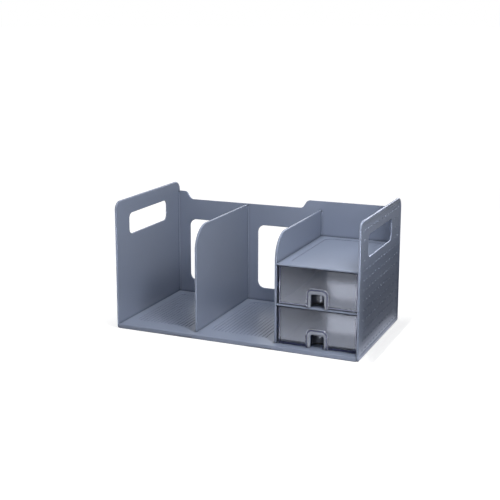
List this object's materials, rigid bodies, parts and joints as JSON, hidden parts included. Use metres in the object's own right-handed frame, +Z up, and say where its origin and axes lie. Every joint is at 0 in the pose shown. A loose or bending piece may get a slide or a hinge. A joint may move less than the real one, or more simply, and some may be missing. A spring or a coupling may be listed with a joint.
{
  "type": "book stand with drawers",
  "caption": "Desktop book stand: open book bays with windowed back panel, drawer bay under a recessed shelf, round-cornered side panels with grip slots.",
  "frame": {"origin": "centre of the footprint, on the surface the stand rests on", "axes": "+X to the right as seen from the front, -Y towards the front where the drawers open, +Z up"},
  "size_m": [0.4, 0.224, 0.2068],
  "materials": {
    "slate_plastic": "fine satin, slate blue-grey",
    "smoke_plastic": "polished, tinted see-through smoke grey",
    "pad_rubber": "matte soft rubber"
  },
  "bodies": {
    "stand": {"base_plate": "slate_plastic", "left_side_panel": "slate_plastic", "right_side_panel": "slate_plastic", "back_panel": "slate_plastic", "centre_divider": "slate_plastic", "drawer_bay_divider": "slate_plastic", "middle_shelf": "slate_plastic", "top_shelf": "slate_plastic", "anti_slip_pads": "pad_rubber"},
    "upper_drawer": {"upper_drawer": "smoke_plastic"},
    "lower_drawer": {"lower_drawer": "smoke_plastic"}
  },
  "joints": [
    {"name": "upper_drawer_slide", "type": "slide", "parent": "stand", "child": "upper_drawer", "axis": [0, -1, 0], "range_m": [0, 0.15]},
    {"name": "lower_drawer_slide", "type": "slide", "parent": "stand", "child": "lower_drawer", "axis": [0, -1, 0], "range_m": [0, 0.15]}
  ]
}
